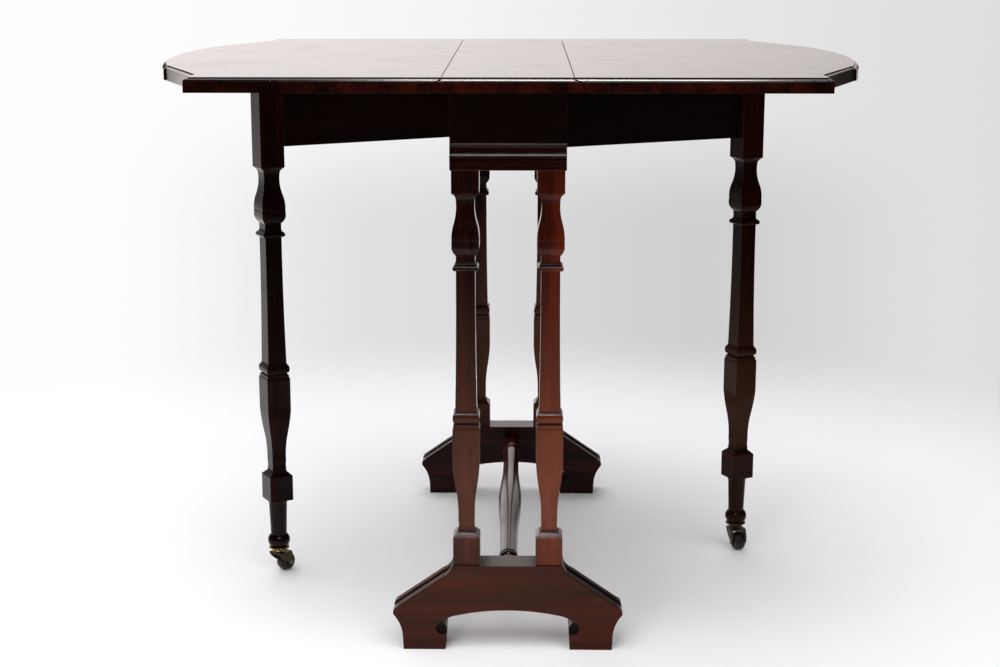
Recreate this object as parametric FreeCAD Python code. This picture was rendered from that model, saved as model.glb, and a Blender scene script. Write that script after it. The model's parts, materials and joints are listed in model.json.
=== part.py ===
"""A drop-leaf tea table on two narrow trestles, shown open, with a swinging leg under each leaf.

X runs along the opened leaves, Y along the narrow fixed top from the front trestle to the rear one, and Z up.
The origin is on the floor under the middle of the table. All sizes are millimetres and degrees.
Half a turn about Z carries the left and front pieces onto the right and rear ones; only the gates, which
stand open by their own angles, and the casters, which point their own ways, differ.
"""
import FreeCAD
import Part
import math
import os

V = FreeCAD.Vector
UP = V(0, 0, 1)

# Table top
TOP_HEIGHT = 690.0
TOP_LENGTH = 762.0
TOP_THICKNESS = 17.0
JOINT_LINE = 73.0
LEAF_REACH = 440.0
EAR_REACH = 358.0
EAR_RETURN = 47.0
CANT_RUN = 131.0
BOW_RISE = 26.0
NIB = 2.2
EDGE_STEP = 1.5
EDGE_INSET = 5.2
EDGE_ROUND = 4.2

# Rule joint between the fixed top and each leaf
RULE_FILLET = 3.0
RULE_RADIUS = 11.5
RULE_GAP = 1.0

# Back-flap hinges of the rule joint
HINGE_FROM_END = 111.0
HINGE_LENGTH = 40.0
HINGE_KNUCKLE = 12.0
HINGE_BARREL_RADIUS = 2.5
HINGE_PIN_RADIUS = 1.2
FLAP_THICKNESS = 1.6
FLAP_REACH = 27.0
FLAP_EDGE = 6.0
SCREW_HEAD_RADIUS = 2.8
SCREW_SHANK_RADIUS = 1.4
SCREW_LENGTH = 9.0
SCREW_SPACING = 20.0

# Under-frame
RAIL_DEPTH = 92.0
END_RAIL_HEIGHT = 32.0
END_RAIL_BAND = 16.0
END_RAIL_LEDGE = 1.6
END_RAIL_COVE_HOLLOW = 1.2
END_RAIL_ROUND = 3.3
PANEL_SETBACK = 6.5
FRAME_WIDTH = 134.0
SIDE_RAIL_INNER = 18.0
SIDE_RAIL_THICKNESS = 18.0
FLY_RAIL_THICKNESS = 18.0
GLUE_BLOCK = 14.0
GLUE_BLOCK_LENGTH = 40.0
GLUE_BLOCK_PLACES = (-210.0, 0.0, 210.0)

# Trestles
END_OVERHANG = 70.6
SHOE_THICKNESS = 38.0
SHOE_HEIGHT = 106.0
SHOE_LIP = 1.2
SHOE_COVE_WIDTH = 12.0
SHOE_COVE_DROP = 14.0
SHOE_COVE_HOLLOW = 2.4
SHOE_TIP_REACH = 134.2
SHOE_TIP_TOP = 53.4
SHOE_NOSE_REACH = 137.6
SHOE_NOSE_LOW = 44.2
SHOE_NOSE_ROUND = 1.9
SHOE_WAIST_REACH = 126.4
SHOE_WAIST_HEIGHT = 14.0
SHOE_WAIST_HOLLOW = 2.9
FOOT_OUTER = 125.7
FOOT_INNER = 75.0
FOOT_LOBE_REACH = 73.2
FOOT_LOBE_BASE = 27.0
FOOT_LOBE_TOP = 34.2
FOOT_LOBE_ROUND = 1.5
LOBE_SINK = 2.5
LOBE_SINK_RADIUS = 7.5
LOBE_SINK_REACH = 78.8
LOBE_SINK_HEIGHT = 26.5
ARCH_SPRING = 82.4
ARCH_SPRING_HOLLOW = 0.7
ARCH_HAUNCH = 66.0
ARCH_HAUNCH_HEIGHT = 42.4
ARCH_CROWN = 50.0
REED_WIDTH = 5.2
REED_ROUND = 1.8
QUIRK_WIDTH = 1.2
QUIRK_DEPTH = 1.0
REED_GROOVE_DEPTH = 2.6
POST_OFFSET = 49.3

# Square balusters of the posts and the swinging legs, measured down from the rails
BLOCK_WIDTH = 32.0
UPPER_BLOCK = 27.0
SHOULDER_DROP = 9.0
VASE_NECK_WIDTH = 21.6
VASE_OGEE_DROP = 25.0
VASE_OGEE_WIDTH = 26.0
VASE_OGEE_HOLLOW = 1.1
VASE_BELLY_DROP = 22.0
VASE_WIDTH = 31.5
VASE_BELLY_ROUND = 1.1
VASE_FOOT_DROP = 17.0
VASE_FOOT_ROUND = 2.3
COLLAR_NECK_WIDTH = 22.2
COLLAR_NECK_DROP = 7.0
COLLAR_FLARE_DROP = 4.5
COLLAR_FLARE_WIDTH = 27.0
COLLAR_FLARE_HOLLOW = 0.8
COLLAR_ROLL_DROP = 6.0
COLLAR_ROLL_ROUND = 1.5
SHAFT_TOP_WIDTH = 22.2
SHAFT_FOOT_WIDTH = 25.4
SHAFT_HOLLOW = 0.5

# Square balusters, measured up from the shoes
LOWER_BLOCK = 34.5
LOWER_CHAMFER = 3.8
LOWER_COVE_RISE = 5.2
LOWER_COVE_HOLLOW = 1.0
ANKLE_WIDTH = 19.4
ANKLE_RISE = 11.0
ANKLE_HOLLOW = 0.4
CALF_WIDTH = 24.6
CALF_RISE = 39.0
CALF_HOLLOW = 1.0
BELLY_WIDTH = 31.5
BELLY_RISE = 76.0
BELLY_ROUND = 2.3
KNEE_BAND = 4.0
KNEE_WIDTH = 29.6
KNEE_GROOVE = 3.0
KNEE_GROOVE_WIDTH = 26.4
KNEE_ROLL = 9.5
KNEE_ROLL_ROUND = 1.0
KNEE_CAP = 4.0
KNEE_CAP_HOLLOW = 0.5

# Stretcher between the shoes
STRETCHER_HEIGHT = 82.0
STRETCHER_BELLY = 31.0
STRETCHER_NECK = 22.2
STRETCHER_SWELL_LENGTH = 165.0
STRETCHER_SWELL_HOLLOW = 0.55
STRETCHER_BEAD = 4.0
STRETCHER_BEAD_ROUND = 1.0
STRETCHER_QUIRK = 3.0
STRETCHER_RING = 9.5
STRETCHER_RING_WIDTH = 25.6
STRETCHER_END = 20.8
STRETCHER_END_LENGTH = 46.0

# Swinging gates
GATE_LENGTH = 299.0
GATE_DROP = 3.0
PIVOT_PLACE = 75.0
LEFT_GATE_OPENING = 61.5
RIGHT_GATE_OPENING = 64.0
KNUCKLE_FINGERS = 5
KNUCKLE_PIN_RADIUS = 3.0
PIN_INSET = 1.0
GATE_TENON = 6.0
GATE_TENON_SHOULDER = 14.0
TENON_LENGTH = 18.0
POST_TENON = 14.0
LEG_BLOCK_DROP = 2.5
LEG_FOOT_TOP = 29.0
LEG_FOOT_NECK = 24.0
LEG_FOOT_NECK_DROP = 9.0
LEG_FOOT_HOLLOW = 0.8
LEG_ANKLE = 21.2
BALL_TOP = 54.5
BALL_BOTTOM = 37.0
BALL_WIDTH = 29.8
BALL_SEAT = 20.0

# Casters
COLLAR_RADIUS = 12.8
COLLAR_LIP = 2.6
COLLAR_FOOT_RADIUS = 9.0
COLLAR_CURVE = 0.95
COLLAR_HEIGHT = 6.0
STEM_RADIUS = 3.0
STEM_LENGTH = 24.0
FORK_NECK_RADIUS = 5.0
FORK_NECK_HEIGHT = 2.0
FORK_CROWN = 2.6
FORK_CROWN_REACH = 8.0
FORK_HOOD_REACH = 12.5
FORK_CHEEK = 2.2
FORK_BOSS_RADIUS = 4.6
FORK_CHEEK_CURVE = 1.15
WHEEL_RADIUS = 12.6
WHEEL_WIDTH = 16.4
WHEEL_RIM_WIDTH = 14.4
WHEEL_CROWN = 1.4
WHEEL_SHOULDER_ROUND = 0.35
WHEEL_WEB_RADIUS = 8.2
HUB_RADIUS = 4.6
AXLE_RADIUS = 1.6
AXLE_HEAD = 0.8
AXLE_HEAD_RADIUS = 3.2
AXLE_HEAD_ROUND = 0.2
CASTER_TRAIL = 12.0
LEFT_CASTER_HEADING = 54.0
RIGHT_CASTER_HEADING = -76.0

# Clearances
LEAF_CLEARANCE = 0.3
GATE_CLEARANCE = 0.5
FINGER_CLEARANCE = 0.3
KNUCKLE_CLEARANCE = 0.4
RUNNING_CLEARANCE = 0.05
FLAP_LIFT_ROOM = 1.0
BARREL_CLEARANCE = 0.4
SWIVEL_CLEARANCE = 0.3
WHEEL_CLEARANCE = 0.4
BORE_END_CLEARANCE = 1.0
OVERCUT = 5.0
FLAT_LIMIT = 0.001

# Levels and places that follow from the sizes above
TOP_UNDERSIDE = TOP_HEIGHT - TOP_THICKNESS
RAIL_BOTTOM = TOP_UNDERSIDE - RAIL_DEPTH
GATE_TOP = TOP_UNDERSIDE - LEAF_CLEARANCE
AXIS_HEIGHT = TOP_HEIGHT - RULE_FILLET - RULE_RADIUS
BOW_HALF_LENGTH = TOP_LENGTH / 2 - EAR_RETURN - CANT_RUN
HINGE_REACH = TOP_LENGTH / 2 - HINGE_FROM_END
SHOE_CENTRE = TOP_LENGTH / 2 - END_OVERHANG
SHOE_FRONT = SHOE_CENTRE + SHOE_THICKNESS / 2
SHOE_BACK = SHOE_CENTRE - SHOE_THICKNESS / 2
POST_OUTER = POST_OFFSET + BLOCK_WIDTH / 2
REED_GROOVE = SHOE_THICKNESS - 4 * REED_WIDTH - 2 * QUIRK_WIDTH
PANEL_FRONT = SHOE_FRONT - PANEL_SETBACK
END_RAIL_TOP = RAIL_BOTTOM + END_RAIL_HEIGHT
SIDE_RAIL_OUTER = SIDE_RAIL_INNER + SIDE_RAIL_THICKNESS
FLY_RAIL_INNER = SIDE_RAIL_OUTER + GATE_CLEARANCE
FLY_RAIL_OUTER = FLY_RAIL_INNER + FLY_RAIL_THICKNESS
PIVOT_OFFSET = FLY_RAIL_INNER + FLY_RAIL_THICKNESS / 2
KNUCKLE_RADIUS = FLY_RAIL_THICKNESS / 2
FLY_RAIL_BOTTOM = RAIL_BOTTOM - GATE_DROP
PIVOT = V(-PIVOT_OFFSET, PIVOT_PLACE, 0)
LEG_CENTRE = V(-FLY_RAIL_INNER - BLOCK_WIDTH / 2, PIVOT_PLACE - GATE_LENGTH, 0)
LEG_BLOCK_BOTTOM = SHOE_HEIGHT - LEG_BLOCK_DROP
FORK_TOP = BALL_BOTTOM - COLLAR_HEIGHT - SWIVEL_CLEARANCE
CROWN_TOP = FORK_TOP - FORK_NECK_HEIGHT
CROWN_BOTTOM = CROWN_TOP - FORK_CROWN
CHEEK_INNER = WHEEL_WIDTH / 2 + WHEEL_CLEARANCE
CHEEK_OUTER = CHEEK_INNER + FORK_CHEEK
BORE_RADIUS = STEM_RADIUS + RUNNING_CLEARANCE
BORE_TOP = BALL_BOTTOM + STEM_LENGTH + BORE_END_CLEARANCE


def on_front(u, v):
    """A point of an upright outline that faces the front."""
    return V(u, 0, v)


def on_side(u, v):
    """A point of an upright outline that faces the side."""
    return V(0, u, v)


def on_plan(u, v):
    """A point of an outline that lies flat."""
    return V(u, v, 0)


def edges_through(points, place):
    """Lines and arcs through (u, v, bulge) points; a bulge rises to the left of the way to its point."""
    edges = []
    for (u0, v0, _), (u1, v1, bulge) in zip(points, points[1:]):
        start, end = place(u0, v0), place(u1, v1)
        if bulge:
            span = math.hypot(u1 - u0, v1 - v0)
            middle = place((u0 + u1) / 2 - bulge * (v1 - v0) / span, (v0 + v1) / 2 + bulge * (u1 - u0) / span)
            edges.append(Part.Arc(start, middle, end).toShape())
        else:
            edges.append(Part.LineSegment(start, end).toShape())
    return edges


def with_bulges(points):
    """The same points, each with a bulge, which is none where only two numbers are given."""
    return [(*point, 0.0)[:3] for point in points]


def outline(points, place, closing_bulge=0.0):
    """The flat face inside a closed outline."""
    points = with_bulges(points)
    loop = points + [(*points[0][:2], closing_bulge)]
    return Part.Face(Part.Wire(edges_through(loop, place)))


def both_sides(half, bridge=0.0):
    """A half outline, listed downwards on the right, with its mirror image on the left."""
    half = with_bulges(half)
    bulges = [point[2] for point in half[1:]] + [bridge]
    return half + [(-u, v, bulge) for (u, v, _), bulge in zip(reversed(half), reversed(bulges))]


def box(x0, x1, y0, y1, z0, z1):
    """A box between two corners."""
    return Part.makeBox(x1 - x0, y1 - y0, z1 - z0, V(x0, y0, z0))


def rod(radius, start, end):
    """A round bar between two points."""
    return Part.makeCylinder(radius, (end - start).Length, start, end - start)


def turned(profile):
    """A solid of revolution about the Z axis from (radius, height) points."""
    return outline(profile, on_front).revolve(V(0, 0, 0), UP, 360)


def half_turn(shape):
    """The same piece on the other side of the table."""
    return shape.rotated(V(0, 0, 0), UP, 180)


def joined(first, *others):
    """One solid from pieces that touch."""
    return first.multiFuse(list(others)).removeSplitter()


def quarter_bulge(radius):
    """The rise of a quarter circle over its chord."""
    return radius * (1 - math.cos(math.pi / 4))


def save(name, shape):
    """Writes one node, and stops on a bad solid."""
    if not shape.isValid() or shape.Volume <= 0:
        raise ValueError(name + " is not a sound solid")
    shape.exportStep("parts/" + name + ".step")


def save_pair(name, shape):
    """Writes a left piece and its right twin."""
    save("left_" + name, shape)
    save("right_" + name, half_turn(shape))


# Table top and rule joints

def top_plan(inset):
    """The outline of the opened top, drawn in by an inset."""
    end, bow = TOP_LENGTH / 2, LEAF_REACH - BOW_RISE
    cant_start, nib_level = end - EAR_RETURN, BOW_HALF_LENGTH - inset
    lean = math.atan2(bow - NIB - EAR_REACH, CANT_RUN)
    cant_end = EAR_REACH + (cant_start - nib_level) * math.tan(lean) - inset / math.cos(lean)
    radius = (BOW_HALF_LENGTH ** 2 + BOW_RISE ** 2) / (2 * BOW_RISE)
    bow_end = LEAF_REACH - radius + math.sqrt((radius - inset) ** 2 - nib_level ** 2)
    far = [(EAR_REACH - inset, end - inset), (EAR_REACH - inset, cant_start - inset * math.tan(lean / 2)),
           (cant_end, nib_level), (bow_end, nib_level)]
    near = [(u, -v) for u, v in reversed(far)]
    near[0] = (*near[0], LEAF_REACH - inset - bow_end)
    return outline(both_sides(far + near), on_plan)


def top_slab():
    """The whole opened top with its moulded edge, before the two joints divide it."""
    step_level = TOP_HEIGHT - EDGE_STEP
    board = top_plan(0).translated(UP * TOP_UNDERSIDE).extrude(UP * (step_level - TOP_UNDERSIDE))
    rim = [edge for edge in board.Edges if edge.BoundBox.ZMin > step_level - EDGE_STEP]
    raised = top_plan(EDGE_INSET).translated(UP * step_level).extrude(UP * EDGE_STEP)
    return joined(board.makeFillet(EDGE_ROUND, rim), raised)


def centre_region():
    """The part of the slab between the two joints, with its rounded edges."""
    half = [(JOINT_LINE, TOP_HEIGHT + OVERCUT), (JOINT_LINE, AXIS_HEIGHT + RULE_RADIUS),
            (JOINT_LINE + RULE_RADIUS, AXIS_HEIGHT, quarter_bulge(RULE_RADIUS)),
            (JOINT_LINE + RULE_RADIUS, TOP_UNDERSIDE - OVERCUT)]
    return along_y(outline(both_sides(half), on_front), TOP_LENGTH)


def leaf_region():
    """The part of the slab beyond the left joint, with the hollow that rides over the rounded edge."""
    hollow = RULE_RADIUS + RULE_GAP
    lip = math.sqrt(hollow ** 2 - RULE_GAP ** 2)
    half_chord = math.hypot(hollow - RULE_GAP, lip) / 2
    rise = hollow - math.sqrt(hollow ** 2 - half_chord ** 2)
    edge = JOINT_LINE + RULE_GAP
    points = [(-edge, TOP_HEIGHT + OVERCUT), (-edge, AXIS_HEIGHT + lip),
              (-JOINT_LINE - hollow, AXIS_HEIGHT, -rise), (-JOINT_LINE - hollow, TOP_UNDERSIDE - OVERCUT),
              (-LEAF_REACH - OVERCUT, TOP_UNDERSIDE - OVERCUT), (-LEAF_REACH - OVERCUT, TOP_HEIGHT + OVERCUT)]
    return along_y(outline(points, on_front), TOP_LENGTH)


def along_y(face, length):
    """An upright face drawn out to both sides of the middle."""
    return face.translated(V(0, -length / 2, 0)).extrude(V(0, length, 0))


def knuckle_spans(place):
    """The stretches of one hinge's barrel: the two on the fixed top and the one on the leaf."""
    start, end = place - HINGE_LENGTH / 2, place + HINGE_LENGTH / 2
    fixed = [(start, start + HINGE_KNUCKLE), (end - HINGE_KNUCKLE, end)]
    moving = [(start + HINGE_KNUCKLE + FINGER_CLEARANCE, end - HINGE_KNUCKLE - FINGER_CLEARANCE)]
    return fixed, moving


def hinge_rod(radius, y0, y1):
    """A round bar on the left joint's axis."""
    return rod(radius, V(-JOINT_LINE, y0, AXIS_HEIGHT), V(-JOINT_LINE, y1, AXIS_HEIGHT))


def flap(place, spans, direction, root, bore_radius):
    """One flap of a left hinge: a flush plate and its barrel stretches, on one side of the axis."""
    plate_top = TOP_UNDERSIDE + FLAP_THICKNESS
    start, end = place - HINGE_LENGTH / 2, place + HINGE_LENGTH / 2
    near, far = -JOINT_LINE + direction * root, -JOINT_LINE + direction * (root + FLAP_REACH)
    pieces = [box(min(near, far), max(near, far), start, end, TOP_UNDERSIDE, plate_top)]
    for y0, y1 in spans:
        pieces.append(hinge_rod(HINGE_BARREL_RADIUS, y0, y1))
        pieces.append(box(min(-JOINT_LINE, near), max(-JOINT_LINE, near), y0, y1, TOP_UNDERSIDE, plate_top))
    return joined(*pieces).cut(hinge_rod(bore_radius, start, end))


def screws(place, direction, root):
    """The countersunk screws of one flap."""
    x = -JOINT_LINE + direction * (root + FLAP_REACH - FLAP_EDGE)
    taper = SCREW_HEAD_RADIUS - SCREW_SHANK_RADIUS
    profile = [(0, 0), (0, SCREW_LENGTH), (SCREW_SHANK_RADIUS, SCREW_LENGTH - taper),
               (SCREW_SHANK_RADIUS, taper), (SCREW_HEAD_RADIUS, 0)]
    return [turned(profile).translated(V(x, place + side * SCREW_SPACING / 2, TOP_UNDERSIDE))
            for side in (-1, 1)]


def make_top():
    """The fixed top, the two leaves and their hinges."""
    slab = top_slab()
    leaf = slab.common(leaf_region())
    centre = slab.common(centre_region())
    barrel_room = HINGE_BARREL_RADIUS + BARREL_CLEARANCE
    leaf_root = RULE_RADIUS + RULE_GAP
    flaps, leaf_flaps, pins, frame_screws, leaf_screws = [], [], [], [], []
    for place in (-HINGE_REACH, 0, HINGE_REACH):
        start, end = place - HINGE_LENGTH / 2, place + HINGE_LENGTH / 2
        fixed, moving = knuckle_spans(place)
        frame_flap = flap(place, fixed, 1, barrel_room, HINGE_PIN_RADIUS)
        leaf_flap = flap(place, moving, -1, leaf_root, HINGE_PIN_RADIUS + RUNNING_CLEARANCE)
        held, carried = screws(place, 1, barrel_room), screws(place, -1, leaf_root)
        flaps.append(frame_flap.cut(held))
        leaf_flaps.append(leaf_flap.cut(carried))
        pins.append(hinge_rod(HINGE_PIN_RADIUS, start, end))
        frame_screws += held
        leaf_screws += carried
        seat = box(-JOINT_LINE + barrel_room, -JOINT_LINE + barrel_room + FLAP_REACH, start, end,
                   TOP_UNDERSIDE - OVERCUT, TOP_UNDERSIDE + FLAP_THICKNESS)
        room = box(-JOINT_LINE - leaf_root, -JOINT_LINE + barrel_room,
                   start - BARREL_CLEARANCE, end + BARREL_CLEARANCE,
                   TOP_UNDERSIDE - OVERCUT, TOP_UNDERSIDE + FLAP_THICKNESS + FLAP_LIFT_ROOM)
        groove = joined(hinge_rod(barrel_room, start - BARREL_CLEARANCE, end + BARREL_CLEARANCE), room, seat)
        centre = centre.cut(groove).cut(half_turn(groove)).cut(held + [half_turn(screw) for screw in held])
        leaf = leaf.cut(leaf_flap).cut(carried)
    save("centre_top", centre)
    save_pair("leaf", leaf)
    save_pair("top_hinge_flaps", Part.makeCompound(flaps))
    save_pair("leaf_hinge_flaps", Part.makeCompound(leaf_flaps))
    save_pair("hinge_pins", Part.makeCompound(pins))
    save_pair("top_hinge_screws", Part.makeCompound(frame_screws))
    save_pair("leaf_hinge_screws", Part.makeCompound(leaf_screws))


# Square balusters of the posts and legs

def baluster(top, bottom, drop=0.0):
    """A square baluster on the Z axis, from the block under the rails to the lower one, set down by a drop."""
    level = RAIL_BOTTOM - UPPER_BLOCK - drop
    points = [(BLOCK_WIDTH, top), (BLOCK_WIDTH, level)]

    def go_down(drop, width, bulge=0.0):
        nonlocal level
        level -= drop
        points.append((width, level, bulge))

    neck_in = (BLOCK_WIDTH - VASE_NECK_WIDTH) / 2
    go_down(SHOULDER_DROP, VASE_NECK_WIDTH, -quarter_bulge(neck_in))
    go_down(VASE_OGEE_DROP, VASE_OGEE_WIDTH, -VASE_OGEE_HOLLOW)
    go_down(VASE_BELLY_DROP, VASE_WIDTH, VASE_BELLY_ROUND)
    go_down(VASE_FOOT_DROP, COLLAR_NECK_WIDTH, VASE_FOOT_ROUND)
    go_down(COLLAR_NECK_DROP, COLLAR_NECK_WIDTH)
    go_down(COLLAR_FLARE_DROP, COLLAR_FLARE_WIDTH, -COLLAR_FLARE_HOLLOW)
    go_down(COLLAR_ROLL_DROP, COLLAR_FLARE_WIDTH, COLLAR_ROLL_ROUND)
    go_down(0.0, SHAFT_TOP_WIDTH)
    level = SHOE_HEIGHT + LOWER_BLOCK - drop
    rising = [(BLOCK_WIDTH, bottom, 0.0), (BLOCK_WIDTH, level, 0.0)]

    def go_up(rise, width, bulge=0.0):
        nonlocal level
        level += rise
        rising.append((width, level, bulge))

    go_up(LOWER_CHAMFER, BLOCK_WIDTH - 2 * LOWER_CHAMFER)
    go_up(LOWER_COVE_RISE, ANKLE_WIDTH, -LOWER_COVE_HOLLOW)
    go_up(ANKLE_RISE, ANKLE_WIDTH, -ANKLE_HOLLOW)
    go_up(CALF_RISE, CALF_WIDTH, -CALF_HOLLOW)
    go_up(BELLY_RISE, BELLY_WIDTH, BELLY_ROUND)
    go_up(0.0, KNEE_WIDTH)
    go_up(KNEE_BAND, KNEE_WIDTH)
    go_up(0.0, KNEE_GROOVE_WIDTH)
    go_up(KNEE_GROOVE, KNEE_GROOVE_WIDTH)
    go_up(0.0, KNEE_WIDTH)
    go_up(KNEE_ROLL, KNEE_WIDTH, KNEE_ROLL_ROUND)
    go_up(KNEE_CAP, SHAFT_FOOT_WIDTH, -KNEE_CAP_HOLLOW)
    bulges = [point[2] for point in rising[1:]] + [-SHAFT_HOLLOW]
    points += [(w, z, bulge) for (w, z, _), bulge in zip(reversed(rising), reversed(bulges))]
    half = [(point[0] / 2, *point[1:]) for point in points]
    front = along_y(outline(both_sides(half), on_front), BLOCK_WIDTH)
    return front.common(front.rotated(V(0, 0, 0), UP, 90))


# Trestles and stretcher

def shoe_half(inset):
    """The right half of a shoe's outline, with its sloping top drawn in by an inset."""
    lip = POST_OUTER + SHOE_LIP
    slope_start = (lip + SHOE_COVE_WIDTH, SHOE_HEIGHT - SHOE_COVE_DROP)
    run, fall = SHOE_TIP_REACH - slope_start[0], slope_start[1] - SHOE_TIP_TOP
    across = inset * fall / math.hypot(run, fall)
    down = inset * run / math.hypot(run, fall)
    return [(lip, SHOE_HEIGHT), (slope_start[0] - across, slope_start[1] - down, -SHOE_COVE_HOLLOW),
            (SHOE_TIP_REACH - inset, SHOE_TIP_TOP + across - down),
            (SHOE_NOSE_REACH - inset, SHOE_NOSE_LOW, SHOE_NOSE_ROUND),
            (SHOE_WAIST_REACH, SHOE_WAIST_HEIGHT, -SHOE_WAIST_HOLLOW), (FOOT_OUTER, 0), (FOOT_INNER, 0),
            (FOOT_LOBE_REACH, FOOT_LOBE_BASE), (ARCH_SPRING, FOOT_LOBE_TOP, FOOT_LOBE_ROUND),
            (ARCH_HAUNCH, ARCH_HAUNCH_HEIGHT, -ARCH_SPRING_HOLLOW)]


def shoe_slice(inset, y0, y1):
    """A slice of a shoe's thickness."""
    loop = both_sides(shoe_half(inset), ARCH_HAUNCH_HEIGHT - ARCH_CROWN)
    return outline(loop, on_front).translated(V(0, y0, 0)).extrude(V(0, y1 - y0, 0))


def shoe_reed(y0, y1):
    """A slice of a shoe's thickness with its slopes rounded into reeds."""
    piece = shoe_slice(0, y0, y1)
    slopes = []
    for edge in piece.Edges:
        span = edge.BoundBox
        upright = span.YLength < FLAT_LIMIT and span.ZMin > SHOE_TIP_TOP - FLAT_LIMIT
        if upright and span.XMin * span.XMax > 0:
            slopes.append(edge)
    return piece.makeFillet(REED_ROUND, slopes)


def lobe_sinks(x):
    """The shallow rounds sunk into both faces of a shoe at the lobe of one foot."""
    return [rod(LOBE_SINK_RADIUS, V(x, -SHOE_FRONT - OVERCUT, LOBE_SINK_HEIGHT),
                V(x, -SHOE_FRONT + LOBE_SINK, LOBE_SINK_HEIGHT)),
            rod(LOBE_SINK_RADIUS, V(x, -SHOE_BACK - LOBE_SINK, LOBE_SINK_HEIGHT),
                V(x, -SHOE_BACK + OVERCUT, LOBE_SINK_HEIGHT))]


def post_tenons(x):
    """The square tenons at the foot and the head of a front post."""
    half = POST_TENON / 2
    front, back = -SHOE_CENTRE - half, -SHOE_CENTRE + half
    foot = box(x - half, x + half, front, back, SHOE_HEIGHT - TENON_LENGTH, SHOE_HEIGHT)
    head = box(x - half, x + half, front, back, RAIL_BOTTOM, RAIL_BOTTOM + TENON_LENGTH)
    return foot, head


def make_trestles():
    """The shoes, posts and moulded end rails of both trestles."""
    reeds = [(REED_WIDTH, 0), (QUIRK_WIDTH, QUIRK_DEPTH), (REED_WIDTH, 0)]
    slices, y = [], -SHOE_FRONT
    for width, inset in reeds + [(REED_GROOVE, REED_GROOVE_DEPTH)] + reeds:
        slices.append(shoe_slice(inset, y, y + width) if inset else shoe_reed(y, y + width))
        y += width
    shoe = joined(*slices).cut(lobe_sinks(-LOBE_SINK_REACH) + lobe_sinks(LOBE_SINK_REACH))
    band_top = RAIL_BOTTOM + END_RAIL_BAND
    profile = [(-SHOE_BACK, RAIL_BOTTOM), (-SHOE_FRONT, RAIL_BOTTOM), (-SHOE_FRONT, band_top),
               (-SHOE_FRONT + END_RAIL_LEDGE, band_top),
               (-PANEL_FRONT - END_RAIL_ROUND, END_RAIL_TOP - END_RAIL_ROUND, -END_RAIL_COVE_HOLLOW),
               (-PANEL_FRONT, END_RAIL_TOP, quarter_bulge(END_RAIL_ROUND)), (-SHOE_BACK, END_RAIL_TOP)]
    half_frame = FRAME_WIDTH / 2
    end_rail = outline(profile, on_side).translated(V(-half_frame, 0, 0)).extrude(V(FRAME_WIDTH, 0, 0))
    panel = box(-half_frame, half_frame, -PANEL_FRONT, -SHOE_BACK, END_RAIL_TOP, TOP_UNDERSIDE)
    post = baluster(RAIL_BOTTOM, SHOE_HEIGHT)
    for side, x in (("left", -POST_OFFSET), ("right", POST_OFFSET)):
        foot, head = post_tenons(x)
        front_post = joined(post.translated(V(x, -SHOE_CENTRE, 0)), foot, head)
        shoe, end_rail = shoe.cut(foot), end_rail.cut(head)
        save("front_" + side + "_post", front_post)
        save("rear_" + ("right" if side == "left" else "left") + "_post", half_turn(front_post))
    for name, piece in (("shoe", shoe), ("end_rail", end_rail), ("end_panel", panel)):
        save("front_" + name, piece)
        save("rear_" + name, half_turn(piece))


def make_stretcher():
    """The turned stretcher, swelling towards its middle, with a bead and a ring before each shoe."""
    neck, belly, end = STRETCHER_NECK / 2, STRETCHER_BELLY / 2, STRETCHER_END / 2
    middle = (neck + belly) / 2
    ring_end = SHOE_BACK - STRETCHER_END_LENGTH
    ring_start = ring_end - STRETCHER_RING
    bead_end = ring_start - STRETCHER_QUIRK
    half = [(STRETCHER_SWELL_LENGTH / 2, middle), (STRETCHER_SWELL_LENGTH, neck, -STRETCHER_SWELL_HOLLOW),
            (bead_end - STRETCHER_BEAD, neck), (bead_end, neck, STRETCHER_BEAD_ROUND), (bead_end, end),
            (ring_start, end), (ring_end, end, STRETCHER_RING_WIDTH / 2 - end),
            (SHOE_BACK, end), (SHOE_BACK, 0)]
    profile = outline(both_sides(half), on_side, belly - middle)
    save("stretcher", profile.revolve(V(0, 0, 0), V(0, 1, 0), 360).translated(UP * STRETCHER_HEIGHT))


# Rails and swinging gates

def knuckle_levels():
    """The lowest and highest level of each finger of the wooden knuckle."""
    height = RAIL_DEPTH / KNUCKLE_FINGERS
    return [(RAIL_BOTTOM + height * n, RAIL_BOTTOM + height * (n + 1)) for n in range(KNUCKLE_FINGERS)]


def at_pivot(radius, z0, z1):
    """A round bar on the left gate's axis."""
    return rod(radius, PIVOT + UP * z0, PIVOT + UP * z1)


def finger_room(z0, z1):
    """The space that the other rail's finger needs as the gate swings out."""
    reach = KNUCKLE_RADIUS + KNUCKLE_CLEARANCE
    outer = box(PIVOT.x - KNUCKLE_RADIUS - OVERCUT, PIVOT.x, PIVOT.y - reach, PIVOT.y + reach, z0, z1)
    return joined(at_pivot(reach, z0, z1), outer)


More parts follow.
